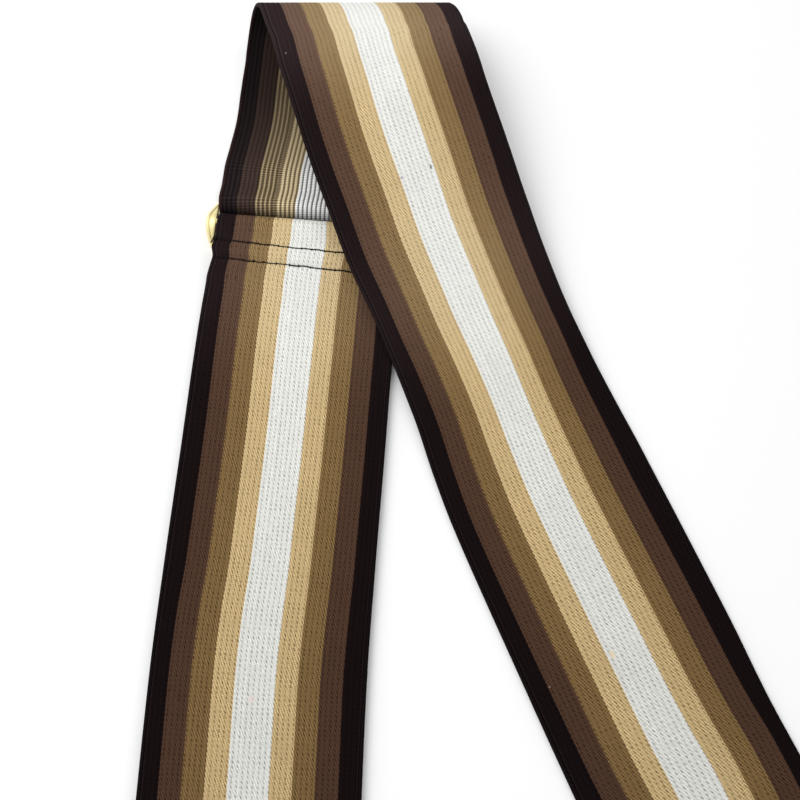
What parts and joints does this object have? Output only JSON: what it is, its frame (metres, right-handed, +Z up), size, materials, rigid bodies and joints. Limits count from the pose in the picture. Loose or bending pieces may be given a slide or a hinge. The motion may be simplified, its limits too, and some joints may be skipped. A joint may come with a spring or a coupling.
{
  "type": "web belt",
  "caption": "Unfastened striped elastic web belt laid flat, folded over at the top, with a metal slide adjuster and a hook and loop clasp half at its ends.",
  "frame": {"origin": "middle of the laid belt's bounding box, on the surface that it lies on", "axes": "+Z up from the surface, +Y towards the fold, +X towards the single right leg"},
  "size_m": [0.2723, 0.4073, 0.0261],
  "materials": {
    "web_fabric": "striped ribbed elastic weave, matte",
    "gold_metal": "polished pale gold tone"
  },
  "bodies": {
    "root": {"webbing": "web_fabric", "slide": "gold_metal", "clasp_hook": "gold_metal", "clasp_loop": "gold_metal"}
  },
  "joints": []
}
